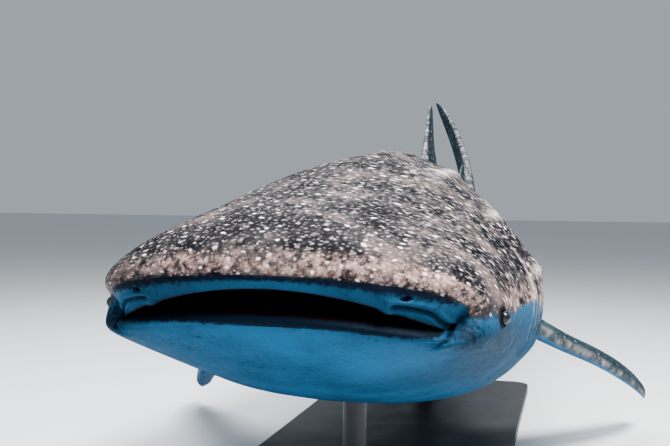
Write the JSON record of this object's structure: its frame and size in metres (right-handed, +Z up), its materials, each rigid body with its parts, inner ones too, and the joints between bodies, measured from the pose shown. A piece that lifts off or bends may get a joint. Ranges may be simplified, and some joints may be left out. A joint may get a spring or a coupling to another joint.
{
  "type": "whale shark",
  "caption": "Whale shark as a still life-size model, mouth ajar and tail in mid swing, held clear of the floor by a plain flat base and short rods.",
  "frame": {"origin": "centre of the underside of the stand's flat base, on the floor", "axes": "+Z up, -Y the way the shark heads, +X to the shark's left"},
  "size_m": [2.7706, 7.3845, 2.3812],
  "materials": {
    "skin": "matt",
    "eye": "gloss",
    "stand": "satin"
  },
  "bodies": {
    "root": {"head": "skin", "lower_jaw": "skin", "gill_region": "skin", "chest": "skin", "trunk": "skin", "tail_front": "skin", "tail_stalk": "skin", "tail_fin_upper_lobe": "skin", "tail_fin_lower_lobe": "skin", "dorsal_fin_first": "skin", "dorsal_fin_second": "skin", "anal_fin": "skin", "pectoral_fin_left": "skin", "pectoral_fin_right": "skin", "pelvic_fin_left": "skin", "pelvic_fin_right": "skin", "eye_left": "eye", "eye_right": "eye", "stand_base": "stand", "stand_rod_front": "stand", "stand_rod_rear": "stand"}
  },
  "joints": []
}
